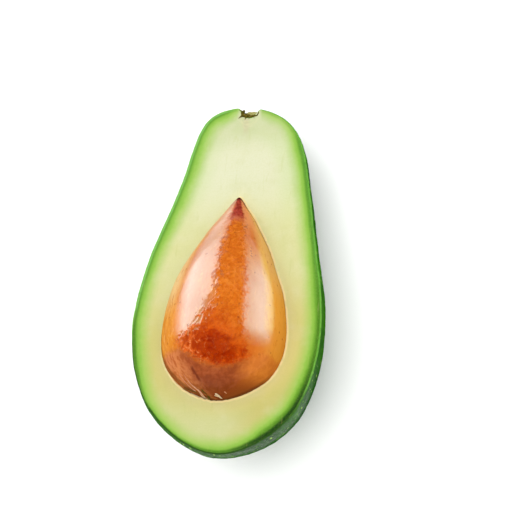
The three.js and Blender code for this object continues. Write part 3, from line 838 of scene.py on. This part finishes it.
def build_fruit():
    y_rim = FRUIT_LENGTH * (1 - np.cos(K_S)) / 2
    y_rim[0], y_rim[N] = 0.0, FRUIT_LENGTH
    r_rim = series(RADIUS_TERMS, K_S)
    r_rim[0] = r_rim[N] = 0.0
    rim = np.stack([drift(y_rim) + SIDE * r_rim, y_rim], 1)
    rim3 = np.concatenate([rim, np.zeros((K, 1))], 1)
    rim_l = lean(rim3)[:, :2]
    # outward normal of the outline
    tan = np.roll(rim_l, -1, 0) - np.roll(rim_l, 1, 0)
    nrm = np.stack([tan[:, 1], -tan[:, 0]], 1)
    nrm /= np.linalg.norm(nrm, axis=1, keepdims=True)
    rim_d = rim_l + nrm * skin_relief(rim3)[:, None]

    # spine: where the stations of the two sides meet, along the middle of the back
    y_sp = 22.0 + 74.0 * (1 - np.cos(S)) / 2
    spine = np.stack([drift(y_sp), y_sp], 1)
    target = spine[SPINE_OF]

    def skin_point(a):
        """a: angle per station, 0 at the rim, pi/2 at the spine."""
        p2 = target + (rim - target) * np.cos(a)[:, None]
        h2 = fruit_radius(p2[:, 1]) ** 2 - (p2[:, 0] - drift(p2[:, 1])) ** 2
        return np.concatenate([p2, -BACK_DEPTH_SHARE * np.sqrt(np.maximum(h2, 0))[:, None]], 1)

    probe = skin_point(np.full(K, 0.02))
    slope = -probe[:, 2] / 0.02
    a0 = EDGE_ROUND / np.maximum(slope, 1.0)

    verts, cutc = [], []
    count = 0

    def add_row(p, base=None):
        nonlocal count
        verts.append(p)
        cutc.append(p if base is None else base)
        ids = np.arange(count, count + len(p))
        count += len(p)
        return ids

    A = 112
    skin_rows = []
    for j in range(A):
        t = j / A
        a = a0 + (np.pi / 2 - a0) * t
        p = skin_point(a)
        q = lean(p + skin_normal(p) * skin_relief(p)[:, None])
        q[:, 2] = np.minimum(q[:, 2], -EDGE_ROUND * 0.9)
        skin_rows.append(add_row(dimple(q), p))
    p = np.concatenate([spine, np.zeros((N + 1, 1))], 1)
    p[:, 2] = -BACK_DEPTH_SHARE * fruit_radius(y_sp)
    q = lean(p + skin_normal(p) * skin_relief(p)[:, None])
    spine_ids = add_row(q, p)

    # rounded cut edge
    edge_rows = []
    for ang in (30.0, 60.0):
        c, s = math.cos(math.radians(ang)), math.sin(math.radians(ang))
        flat = rim_d - nrm * (EDGE_ROUND * (1 - c))
        p = np.concatenate([flat, np.full((K, 1), -EDGE_ROUND * (1 - s))], 1)
        edge_rows.append(add_row(dimple(p), p))

    # cut face, from the edge to the hollow
    hol = hollow_outline()
    outer = rim_d - nrm * EDGE_ROUND
    line = hol - outer
    length = np.linalg.norm(line, axis=1, keepdims=True)
    unit = line / length
    from_rim = [0.0, 0.18, 0.42, 0.75, 1.2, 1.8, 2.6]
    from_pit = [3.2, 2.4, 1.8, 1.35, 1.0, 0.75, 0.55, 0.40, 0.28, 0.18, 0.09, 0.0]
    M = 44
    between = M + 1 - len(from_rim) - len(from_pit)
    flats = [outer + unit * d for d in from_rim]
    for i in range(1, between + 1):
        flats.append(outer + unit * (from_rim[-1] + (length - from_rim[-1] - from_pit[0]) * i / (between + 1)))
    flats += [hol - unit * d for d in from_pit]
    allp = np.concatenate(flats)
    allp = np.concatenate([allp, np.zeros((len(allp), 1))], 1)
    d_rim = segment_distance(allp[:, :2], rim_d)
    d_pit = segment_distance(allp[:, :2], hol)
    lip_share = 0.5 + 0.5 * smooth(-0.25, 0.25, fbm(allp / 6.0, 2, 71))
    fray = smooth(30.0, 18.0, allp[:, 1]) * smooth(6.0, -6.0, allp[:, 0])
    height = (0.10 * fbm(allp / 16.0, 2, 73) + 0.020 * fbm(allp / 2.5, 3, 75)) * smooth(0.3, 3.0, d_rim)
    height += (0.30 + 0.25 * fray * fbm(allp / 0.8, 2, 77)) * lip_share * np.exp(-((d_pit - 0.03) / 0.45) ** 2)
    height -= 0.16 * np.exp(-((d_pit - 1.5) / 0.9) ** 2) * lip_share
    face_ids = []
    for m in range(M + 1):
        p = allp[m * K:(m + 1) * K].copy()
        base = p.copy()
        p[:, 2] += height[m * K:(m + 1) * K]
        face_ids.append(add_row(dimple(p, smooth(103.0, 114.0, p[:, 1])), base))

    # hollow under the seed
    y_hs = SEED_START + 12.0 + (SEED_LENGTH - 26.0) * (1 - np.cos(S)) / 2
    hspine = np.stack([np.zeros(N + 1), y_hs], 1)
    htarget = hspine[SPINE_OF]
    H = 18
    hollow_ids = []
    for j in range(1, H):
        a = (np.pi / 2) * j / H
        p2 = htarget + (hol - htarget) * math.cos(a)
        rr = seed_radius(p2[:, 1]) + SEED_GAP + np.maximum(seed_trim(p2[:, 1], p2[:, 0]), 0)
        h2 = np.maximum(rr**2 - p2[:, 0] ** 2, 0)
        p = np.concatenate([p2, -np.sqrt(h2)[:, None] * smooth(0.0, 0.3, a)], 1)
        p[:, 2] = np.minimum(p[:, 2], -0.05 * j)
        hollow_ids.append(add_row(p))
    p = np.concatenate([hspine, -(seed_radius(y_hs) + SEED_GAP)[:, None]], 1)
    hspine_ids = add_row(p)

    # faces
    quads, mats = [], []

    def strip(lower, upper, mat):
        k = np.arange(K)
        k2 = (k + 1) % K
        quads.append(np.stack([lower[k], lower[k2], upper[k2], upper[k]], 1))
        mats.append(np.full(K, mat))

    for j in range(A - 1):
        strip(skin_rows[j + 1], skin_rows[j], 0)
    strip(spine_ids[SPINE_OF], skin_rows[A - 1], 0)
    strip(skin_rows[0], edge_rows[0], 0)
    strip(edge_rows[0], edge_rows[1], 0)
    strip(edge_rows[1], face_ids[0], 0)
    for m in range(M):
        strip(face_ids[m], face_ids[m + 1], 1)
    strip(face_ids[M], hollow_ids[0], 1)
    for j in range(H - 2):
        strip(hollow_ids[j], hollow_ids[j + 1], 1)
    strip(hollow_ids[H - 2], hspine_ids[SPINE_OF], 1)
    quads = np.concatenate(quads)
    mats = np.concatenate(mats)
    # at the ends of a spine two corners are one point
    same = [(quads[:, i] == quads[:, (i + 1) % 4]) for i in range(4)]
    bad = np.any(same, 0)
    good_q, good_m = quads[~bad], mats[~bad]
    tri, tri_m = [], []
    for f, m in zip(quads[bad], mats[bad]):
        g = []
        for v in f:
            if v not in g:
                g.append(v)
        if len(g) == 3:
            tri.append(g)
            tri_m.append(m)
    verts = np.concatenate(verts)
    cutc = np.concatenate(cutc)
    rim_a = np.zeros(len(verts))
    pit_a = np.full(len(verts), 40.0)
    edge_a = np.zeros(len(verts))
    edge_a[skin_rows[0]] = 0.35
    edge_a[edge_rows[0]] = edge_a[edge_rows[1]] = edge_a[face_ids[0]] = 1.0
    fi = np.concatenate(face_ids)
    rim_a[fi] = d_rim
    pit_a[fi] = d_pit
    hi = np.concatenate(hollow_ids + [hspine_ids])
    rim_a[hi] = 20.0
    pit_a[hi] = 0.0
    return make_mesh(
        "flesh_and_skin", verts, good_q, tri, np.concatenate([good_m, tri_m]).astype(int), [SKIN, FLESH],
        {"cut": cutc, "rim": rim_a, "pit": pit_a, "edge": edge_a},
    )


fruit = build_fruit()


# --------------------------------------------------------------------------
# The seed: a pointed turned body with soft lumps, a grainy band on top and
# creases that run to its blunt end
# --------------------------------------------------------------------------
def seed_axis(y):
    """Height of the seed's axis over the cut face: the tip bends down to the flesh."""
    return SEED_RAISE - 0.6 * smooth(SEED_START + 0.80 * SEED_LENGTH, SEED_START + SEED_LENGTH, y)


def build_seed():
    rings, upper, lower = 300, 236, 84
    sides = upper + lower
    s = np.linspace(0, np.pi, rings + 1)[1:-1]
    y = SEED_START + SEED_LENGTH * (1 - np.cos(s)) / 2
    r = np.maximum(series(SEED_TERMS, s), 0)
    a = np.concatenate([
        np.linspace(-0.1, np.pi + 0.1, upper, endpoint=False),
        np.linspace(np.pi + 0.1, 2 * np.pi - 0.1, lower, endpoint=False),
    ])
    dr = np.gradient(r, y)
    P = np.stack([
        np.outer(r, np.cos(a)), np.repeat(y[:, None], sides, 1), SEED_RAISE + np.outer(r, np.sin(a)),
    ], 2).reshape(-1, 3)
    nr = np.stack([
        np.repeat(np.cos(a)[None], len(y), 0), np.repeat(-dr[:, None], sides, 1), np.repeat(np.sin(a)[None], len(y), 0),
    ], 2).reshape(-1, 3)
    nr /= np.linalg.norm(nr, axis=1, keepdims=True)
    up = smooth(1.0, 6.0, P[:, 2])
    along = (P[:, 1] - SEED_START) / SEED_LENGTH
    turn = np.degrees(np.arctan2(P[:, 2] - SEED_RAISE, P[:, 0]))
    jt = turn + 22 * fbm(P / 2.2, 3, 107)
    jy = P[:, 1] + 2.4 * fbm(P / 2.4, 3, 109)
    left = 82 + 50 * np.clip((43.5 - jy) / 14.7, 0, 1) ** 2.4
    right = 54 - 12 * np.clip((34 - jy) / 10, 0, 1)
    floor_y = 21.6 + 3.3 * np.minimum(((jt - 74) / 36) ** 2, 1.65)
    dull = (smooth(-5, 5, left - jt) * smooth(-6, 6, jt - right) * smooth(-0.6, 0.6, jy - floor_y)
            * smooth(0.92, 0.8, along))
    blunt = smooth(0.6, -0.6, jy - floor_y) * smooth(33, 27, P[:, 1])

    q = P + 0.8 * np.stack([fbm(P / 5.0, 2, 101), fbm(P / 5.0, 2, 102), fbm(P / 5.0, 2, 103)], 1)
    lump = 0.16 * fbm(q / 15.0, 2, 111) + 0.03 * fbm(q / 4.0, 2, 113)
    # winding wrinkles that run up to the right, most on the left of the grainy zone
    run = np.stack([(0.80 * q[:, 0] - 0.60 * q[:, 1]) / 1.9, (0.60 * q[:, 0] + 0.80 * q[:, 1]) / 3.6, q[:, 2] / 2.6], 1)
    ridged = 1 - np.abs(np.clip(fbm(run, 3, 117) * 2.8, -1, 1))
    most = 0.25 + 0.75 * smooth(78.0, 100.0, turn) * smooth(44.0, 32.0, P[:, 1])
    rough = dull * (0.15 * most * (ridged - 0.55) + 0.040 * fbm(P / 1.1, 2, 127) - 0.02)
    # creases towards the blunt end
    crease = np.zeros(len(P))
    sway = 7.0 * fbm(P / 4.0, 2, 129)
    for at, wide, deep in ((111, 2.6, 0.16), (131, 2.2, 0.12), (96, 2.8, 0.07), (72, 3.2, 0.06), (48, 3.0, 0.08), (142, 2.4, 0.10)):
        crease += deep * np.exp(-(((turn + sway - at) / wide) ** 2))
    crease *= smooth(25.5, 20.5, P[:, 1]) * smooth(0.4, 2.0, np.repeat(r, sides))
    # the right flank is a little flattened
    span = np.clip(1 - ((turn - 39.0) / 17.0) ** 2, 0, 1)
    flat = 0.020 * np.repeat(r, sides) * span ** 1.3 * smooth(24.0, 32.0, P[:, 1]) * smooth(74.0, 60.0, P[:, 1])
    lump = lump - flat
    disp = np.minimum(lump, 0.14) * (0.4 + 0.6 * up) + (rough - crease + 0.03 * blunt * fbm(P / 1.4, 2, 133)) * up
    disp = np.where(P[:, 2] < 2.0, np.minimum(disp, 0.03), disp)
    fade = np.minimum(1.0, np.repeat(r, sides) / 4.0)
    Q = P + nr * (disp * fade)[:, None]
    # the two sides differ a little from a turned body
    c = np.tile(np.cos(a), len(y))
    off = seed_trim(P[:, 1], c) * smooth(0.45, 0.95, np.abs(c))
    Q[:, 0] += off * c
    Q[:, 2] += off * np.tile(np.sin(a), len(y))
    Q[:, 2] += seed_axis(Q[:, 1]) - SEED_RAISE
    bottom = np.array([[0.0, SEED_START, SEED_RAISE]])
    tip = np.array([[0.0, SEED_START + SEED_LENGTH, float(seed_axis(SEED_START + SEED_LENGTH))]])
    verts = np.concatenate([Q, bottom, tip])
    base = np.concatenate([P, bottom, tip])
    n = len(y)
    idx = np.arange(n * sides).reshape(n, sides)
    nxt = np.roll(idx, -1, 1)
    quads = np.stack([idx[:-1], idx[1:], nxt[1:], nxt[:-1]], 2).reshape(-1, 4)
    b, t = n * sides, n * sides + 1
    tris = np.concatenate([
        np.stack([np.full(sides, b), idx[0], nxt[0]], 1),
        np.stack([np.full(sides, t), nxt[-1], idx[-1]], 1),
    ])
    return make_mesh("seed_body", verts, quads, tris, np.zeros(len(quads) + len(tris), int), [SEED],
                     {"cut": base, "wrinkle": np.concatenate([ridged, [0.5, 0.5]])})


seed = build_seed()


# --------------------------------------------------------------------------
# Thin tapered shreds, for the torn seed coat and the dry stalk
# --------------------------------------------------------------------------
def shred(path, normals, width, thick, verts, faces, steps=14, ring=8, blunt_start=0.5, taper=1.7):
    """A flat tapered strip along a smooth path, closed at both ends."""
    path, normals = np.asarray(path, float), np.asarray(normals, float)
    m = len(path)
    t = np.linspace(0, m - 1, steps + 1)
    i = np.clip(t.astype(int), 0, m - 2)
    f = t - i

    def curve(a):
        p0, p1, p2, p3 = a[np.maximum(i - 1, 0)], a[i], a[i + 1], a[np.minimum(i + 2, m - 1)]
        g = f[:, None]
        return 0.5 * (2 * p1 + (p2 - p0) * g + (2 * p0 - 5 * p1 + 4 * p2 - p3) * g**2 + (3 * p1 - p0 - 3 * p2 + p3) * g**3)

    c = curve(path)
    nn = curve(normals)
    tang = np.gradient(c, axis=0)
    tang /= np.linalg.norm(tang, axis=1, keepdims=True)
    nn -= (nn * tang).sum(1, keepdims=True) * tang
    nn /= np.linalg.norm(nn, axis=1, keepdims=True)
    across = np.cross(nn, tang)
    first = len(verts)
    for k in range(steps + 1):
        u = k / steps
        w = width * min(1.0, blunt_start + u * 4.0) * (1 - u**taper) + 0.02
        h = thick * (1 - 0.7 * u) + 0.008
        for b in range(ring):
            ang = 2 * math.pi * b / ring
            verts.append(c[k] + across[k] * (w * math.cos(ang)) + nn[k] * (h * math.sin(ang)))
    for k in range(steps):
        for b in range(ring):
            b2 = (b + 1) % ring
            faces.append((first + k * ring + b, first + k * ring + b2, first + (k + 1) * ring + b2, first + (k + 1) * ring + b))
    e = first + steps * ring
    half = ring // 2
    for b in range(half - 1):
        faces.append((first + b, first + ring - 1 - b, first + ring - 2 - b, first + b + 1))
        faces.append((e + b + 1, e + ring - 2 - b, e + ring - 1 - b, e + b))


def on_seed(turn, y, lift):
    e = 0.05
    a = math.radians(turn)
    rr = float(seed_radius(y))
    dr = float(seed_radius(y + e) - seed_radius(y - e)) / (2 * e)
    n = np.array([math.cos(a), -dr, math.sin(a)])
    n /= np.linalg.norm(n)
    return np.array([rr * math.cos(a), y, SEED_RAISE + rr * math.sin(a)]) + n * lift, n


def build_flakes():
    """Strips of torn seed coat, at the blunt end on the left, and dark strips of painted shadow in the gaps between
    them.
    """
    verts, faces = [], []

    def over_seed(points, width, lift=0.05, taper=1.7):
        pn = [on_seed(a, y, lift + extra) for a, y, extra in points]
        shred([p for p, _ in pn], [n for _, n in pn], width, 0.05, verts, faces, blunt_start=0.6, taper=taper)

    # a strip that still hangs on, and its finer neighbours
    over_seed([(172, 17.1, 0.04), (158, 17.3, 0.08), (144, 17.57, 0.08), (138, 17.95, 0.06), (137, 18.77, 0.03), (134, 19.87, 0.0), (131, 21.07, -0.02)], 0.66, 0.05, 1.1)
    over_seed([(152, 18.1, 0.02), (148, 18.9, 0.03), (143, 20.2, 0.0), (140, 21.6, -0.02)], 0.20, 0.04, 1.2)
    over_seed([(54, 17.30, 0.02), (50, 17.22, 0.06), (40, 17.10, 0.04)], 0.20, 0.04, 2.2)
    soft = len(verts)
    # pale flaps along the edge of the hollow
    over_seed([(179, 19.0, 0.06), (177, 18.36, 0.14), (176, 17.79, 0.20), (176, 17.35, 0.20), (177, 16.95, 0.12)], 0.30, 0.06, 3.0)
    over_seed([(158, 17.4, 0.08), (162, 17.28, 0.16), (164, 17.03, 0.18), (168, 16.87, 0.12)], 0.24, 0.06, 3.0)
    over_seed([(90, 16.96, 0.02), (82, 16.84, 0.14), (70, 16.70, 0.26), (48, 16.60, 0.26), (34, 16.58, 0.14)], 0.40, 0.05, 2.4)
    over_seed([(100, 16.78, 0.06), (84, 16.68, 0.12), (60, 16.60, 0.10)], 0.22, 0.05, 2.0)
    pale = len(faces)
    # dark strips between them: painted shadow in the gaps, in the stalk material
    for points, width in (
        ([(170, 20.0, 0.02), (167, 19.43, 0.06), (163, 18.82, 0.08), (158, 18.21, 0.06), (154, 17.9, 0.0)], 0.30),
        ([(126, 17.8, 0.0), (128, 17.63, 0.04), (131, 17.37, 0.06), (134, 17.12, 0.06), (146, 16.86, 0.06)], 0.26),
        ([(140, 16.9, 0.06), (150, 16.83, 0.16), (168, 16.78, 0.22), (182, 16.8, 0.16)], 0.34),
    ):
        over_seed(points, width, 0.05, 2.2)
    v = np.array(verts)
    whiter = (np.arange(len(v)) >= soft).astype(float)
    return make_mesh("seed_coat_and_shadow_strips", v, faces, [], (np.arange(len(faces)) >= pale).astype(int), [FLAKE, STALK], {"cut": v, "whiter": whiter})


flakes = build_flakes()


# --------------------------------------------------------------------------
# The dry stub of the stalk, cut through with the fruit: a ragged cup in the
# dimple, with a few shreds
# --------------------------------------------------------------------------
def build_stub():
    T, m = 44, 22
    th = np.linspace(0, np.pi, T + 1)
    base_y = FRUIT_LENGTH - DIMPLE_DEPTH
    faces, tris = [], []
    outer = np.zeros((T + 1, m + 1, 3))
    inner = np.zeros((T + 1, m + 1, 3))
    for i, a in enumerate(th):
        left = smooth(0.35, 0.85, a / np.pi)
        top = 1.45 + 1.0 * left + 0.30 * math.sin(9 * a + 1.0) + 0.25 * math.sin(23 * a)
        for j in range(m + 1):
            u = j / m
            rad = 2.75 * math.sin(min(1.0, u * 1.25) * math.pi / 2) + 0.18 * u
            hgt = 0.12 + (top - 0.12) * u**2.6
            thick = 0.62 + 0.75 * left * (1 - 0.3 * u) - 0.28 * u + 0.10 * math.sin(7 * a + 5 * u)
            tilt = math.atan2(2.6 * (top - 0.12) * u**1.6, 3.4)
            r_in = max(0.0, rad - thick * math.sin(tilt))
            h_in = hgt + thick * math.cos(tilt) * (1 - 0.25 * u)
            outer[i, j] = (STALK_X + 0.35 + rad * math.cos(a), base_y + hgt - 0.55, -0.94 * rad * math.sin(a))
            inner[i, j] = (STALK_X + 0.35 + r_in * math.cos(a), base_y + h_in - 0.55, -0.94 * r_in * math.sin(a))
    for grid, seed_no in ((outer, 131), (inner, 139)):
        flat = grid.reshape(-1, 3)
        rag = np.stack([fbm(flat / 0.8, 3, seed_no), fbm(flat / 0.8, 3, seed_no + 2), fbm(flat / 0.8, 3, seed_no + 4)], 1)
        share = np.repeat(np.linspace(0, 1, m + 1)[None], T + 1, 0).reshape(-1, 1)
        flat += rag * (0.06 + 0.22 * share)
        grid[:] = flat.reshape(grid.shape)
    outer[:, 0] = outer[:, 0].mean(0)
    inner[:, 0] = inner[:, 0].mean(0)
    outer[:, :, 2] = np.minimum(outer[:, :, 2], 0.06)
    inner[:, :, 2] = np.minimum(inner[:, :, 2], 0.06)
    # on the cut, the two edges stand a little proud of the face
    outer[0, :, 2] = outer[-1, :, 2] = inner[0, :, 2] = inner[-1, :, 2] = 0.10
    verts = [outer[0, 0], inner[0, 0]]
    oid = np.zeros((T + 1, m + 1), int)
    iid = np.ones((T + 1, m + 1), int)
    for i in range(T + 1):
        for j in range(1, m + 1):
            oid[i, j] = len(verts)
            verts.append(outer[i, j])
            iid[i, j] = len(verts)
            verts.append(inner[i, j])

    def put(a, b, c, d):
        f = []
        for v in (a, b, c, d):
            if v not in f:
                f.append(v)
        (faces if len(f) == 4 else tris).append(tuple(f))

    for i in range(T):
        for j in range(m):
            put(oid[i, j], oid[i, j + 1], oid[i + 1, j + 1], oid[i + 1, j])
            put(iid[i, j], iid[i + 1, j], iid[i + 1, j + 1], iid[i, j + 1])
        put(oid[i, m], iid[i, m], iid[i + 1, m], oid[i + 1, m])
    for j in range(m):
        put(oid[0, j], iid[0, j], iid[0, j + 1], oid[0, j + 1])
        put(oid[T, j], oid[T, j + 1], iid[T, j + 1], iid[T, j])
    up = (0.0, -0.15, 1.0)
    for path, width in (
        ([(-0.9, 112.6, 0.12), (-1.7, 112.0, 0.28), (-2.4, 111.55, 0.24), (-2.95, 111.2, 0.10)], 0.30),
        ([(-0.2, 112.2, 0.12), (-0.35, 111.5, 0.20), (-0.6, 110.9, 0.14), (-0.75, 110.4, 0.06)], 0.20),
        ([(0.6, 111.9, 0.10), (0.7, 111.3, 0.16), (0.5, 110.7, 0.08)], 0.15),
        ([(-1.6, 113.4, 0.12), (-2.3, 113.9, 0.26), (-2.9, 114.25, 0.18)], 0.22),
        ([(-1.0, 113.2, 0.15), (-1.2, 113.7, 0.30), (-1.6, 114.1, 0.20)], 0.24),
        ([(1.7, 111.7, 0.10), (2.1, 111.2, 0.14), (2.3, 110.8, 0.06)], 0.12),
    ):
        shred(path, [up] * len(path), width, 0.10, verts, faces, steps=10)
    # pith in the cup, cut level with the fruit
    dark_q, dark_t = len(faces), len(tris)
    first = len(verts)
    rows, turns = 8, 28
    for i in range(rows + 1):
        h = math.pi / 2 * i / rows
        for k in range(turns):
            a = 2 * math.pi * k / turns
            ragged = 1 + 0.12 * math.sin(3 * a + 0.7) + 0.08 * math.sin(7 * a)
            verts.append(np.array([
                STALK_X + 0.95 + 1.75 * ragged * math.cos(h) * math.cos(a), base_y + 0.95 + 0.62 * ragged * math.cos(h) * math.sin(a),
                -0.02 - 0.8 * math.sin(h) if i else -0.02,
            ]))
    for i in range(rows):
        for k in range(turns):
            k2 = (k + 1) % turns
            faces.append((first + i * turns + k, first + (i + 1) * turns + k, first + (i + 1) * turns + k2, first + i * turns + k2))
    verts.append(np.array([STALK_X + 0.95, base_y + 0.95, 0.03]))
    for k in range(turns):
        tris.append((first + k, first + (k + 1) % turns, len(verts) - 1))
    mats = np.concatenate([
        (np.arange(len(faces)) >= dark_q).astype(int), (np.arange(len(tris)) >= dark_t).astype(int),
    ])
    v = np.array(verts)
    return make_mesh("stalk_end", v, faces, tris, mats, [STALK, PITH], {"cut": v})


stub = build_stub()

for piece, node, slot in ((fruit, "fruit_half", "fruit"), (seed, "seed", "seed"), (stub, "stalk_stub", "stalk")):
    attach(piece, "root")
    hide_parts(node)
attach(flakes, "root")

# --------------------------------------------------------------------------
# Stage: pale floor, soft studio light, camera at the photograph's angle
# --------------------------------------------------------------------------
bpy.ops.mesh.primitive_plane_add(size=6.0, location=(0, 0, 0))
floor = bpy.context.object
floor.name = "floor"
floor.data.materials.append(floor_material())

# a pale surround up to a third of the way to the zenith, a dark ceiling above
world = bpy.data.worlds.new("studio")
world.use_nodes = True
wt = world.node_tree
back = wt.nodes["Background"]
back.inputs[0].default_value = (1.0, 1.0, 1.0, 1)
w_co = wt.nodes.new("ShaderNodeTexCoord")
w_xyz = wt.nodes.new("ShaderNodeSeparateXYZ")
w_map = wt.nodes.new("ShaderNodeMapRange")
w_map.interpolation_type = "SMOOTHSTEP"
w_map.inputs["From Min"].default_value = 0.38
w_map.inputs["From Max"].default_value = 0.56
w_map.inputs["To Min"].default_value = 1.05
w_map.inputs["To Max"].default_value = 0.14
wt.links.new(w_co.outputs["Generated"], w_xyz.inputs[0])
wt.links.new(w_xyz.outputs[2], w_map.inputs["Value"])
wt.links.new(w_map.outputs["Result"], back.inputs[1])
bpy.context.scene.world = world


def softbox(name, centre, look, size_x, size_y, radiance, color=(1, 1, 1)):
    light = bpy.data.lights.new(name, "AREA")
    light.shape = "RECTANGLE"
    light.size, light.size_y = size_x, size_y
    light.energy = radiance * math.pi * size_x * size_y
    light.color = color
    o = bpy.data.objects.new(name, light)
    o.location = centre
    o.rotation_mode = "QUATERNION"
    o.rotation_quaternion = (Vector(look) - Vector(centre)).to_track_quat("-Z", "Y")
    o.visible_camera = False
    bpy.context.scene.collection.objects.link(o)
    return o


def standing_box(name, azimuth, distance, width, height, radiance, color=(1, 1, 1)):
    """A softbox that stands on the floor and faces the fruit; azimuth is from +X."""
    a = math.radians(azimuth)
    z = height / 2 + 0.004
    return softbox(name, (distance * math.cos(a), distance * math.sin(a), z), (0, 0, z), width, height, radiance, color)


def floor_card(name, start, end, depth, radiance, color=(1, 1, 1)):
    """A bright card flat on the floor, from its near edge (start to end) outwards on that edge's left."""
    a, b = np.array(start, float), np.array(end, float)
    length = np.linalg.norm(b - a)
    u = (b - a) / length
    out = np.array([-u[1], u[0]])
    c = (a + b) / 2 + out * depth / 2
    o = softbox(name, (c[0], c[1], 0.001), (c[0], c[1], 1.0), length, depth, radiance, color)
    turn = Matrix(((u[0], -out[0], 0.0), (u[1], -out[1], 0.0), (0.0, 0.0, -1.0)))
    o.rotation_quaternion = turn.to_quaternion()
    return o


# standing boxes and floor cards make the sheen, the ceiling makes the even light
SHEEN_WHITE = (0.87, 0.99, 1.0)
for box in (
    standing_box("left_box", 136.0, 0.45, 0.61, 0.53, 6.6, SHEEN_WHITE),
    standing_box("right_box", 31.0, 0.45, 0.61, 0.265, 5.4, SHEEN_WHITE),
    floor_card("left_card", (-0.385, 0.280), (-0.045, 0.058), 0.25, 1.9, SHEEN_WHITE),
    floor_card("right_card", (0.030, 0.049), (0.400, -0.029), 0.35, 3.6, SHEEN_WHITE),
):
    box.visible_diffuse = False
top = softbox("ceiling_fill", (0.0, 0.0, 1.1), (0.0, 0.0, 0.0), 2.0, 2.0, 2.64)
top.visible_glossy = False

# Camera: fitted to the outline of the cut face. In camera axes (x right, y up,
# z towards the viewer) the cut face's normal leans 20.5 degrees left and 27
# degrees up, and its length leans 4.25 degrees.
FOCAL_PX = 2000.0
tilt = np.array([-math.tan(math.radians(20.5)), math.tan(math.radians(27.0)), 1.0])
n_c = tilt / np.linalg.norm(tilt)
e_y = np.array([0, 1, 0]) - n_c[1] * n_c
e_y /= np.linalg.norm(e_y)
e_x = np.cross(e_y, n_c)
roll = math.radians(-4.25)
v_c = math.sin(roll) * e_x + math.cos(roll) * e_y
u_c = math.cos(roll) * e_x - math.sin(roll) * e_y
cut_to_cam = np.stack([u_c, v_c, n_c], 1)
cut_origin = np.array([0, 0, -600.222]) - 6.9706 * u_c - 62.8454 * v_c
cam_cut = -cut_to_cam.T @ cut_origin
cam_pos = to_rest(cam_cut)
cam_axes = REST_TURN @ cut_to_cam.T
cam_data = bpy.data.cameras.new("camera")
cam_data.sensor_width = 36.0
cam_data.lens = FOCAL_PX / 512.0 * 36.0
cam_data.clip_start, cam_data.clip_end = 0.01, 20.0
cam = bpy.data.objects.new("camera", cam_data)
m = Matrix.Identity(4)
for i in range(3):
    for j in range(3):
        m[i][j] = cam_axes[i][j]
    m[i][3] = cam_pos[i]
cam.matrix_world = m
bpy.context.scene.collection.objects.link(cam)
bpy.context.scene.camera = cam

vs = bpy.context.scene.view_settings
vs.view_transform = "Standard"
vs.look = "None"
vs.exposure = 0.0
vs.gamma = 1.0
